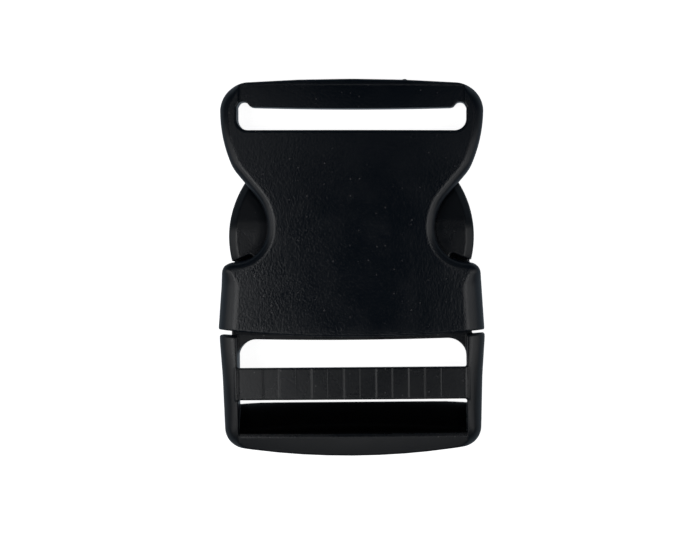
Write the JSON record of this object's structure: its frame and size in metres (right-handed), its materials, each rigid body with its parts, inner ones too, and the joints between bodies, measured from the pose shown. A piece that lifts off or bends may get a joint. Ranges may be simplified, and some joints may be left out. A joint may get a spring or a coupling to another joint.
{
  "type": "side release buckle",
  "caption": "Fastened side release buckle for wide webbing: a waisted socket with a sewing bar and side windows, and a plug with sprung arms, a ribbed adjuster bar and a wedge-shaped lower bar.",
  "frame": {"origin": "middle of the outline, on the flat surface that the buckle lies on", "axes": "+Y along the buckle towards the sewn strap bar, +X across it, +Z out of the front face"},
  "size_m": [0.0588, 0.0834, 0.0126],
  "materials": {
    "socket_plastic": "fine spark-eroded texture, smoother along the rounded edges",
    "plug_plastic": "fine matte texture, polished on the ramp"
  },
  "bodies": {
    "root": {"socket": "socket_plastic", "plug": "plug_plastic"}
  },
  "joints": []
}
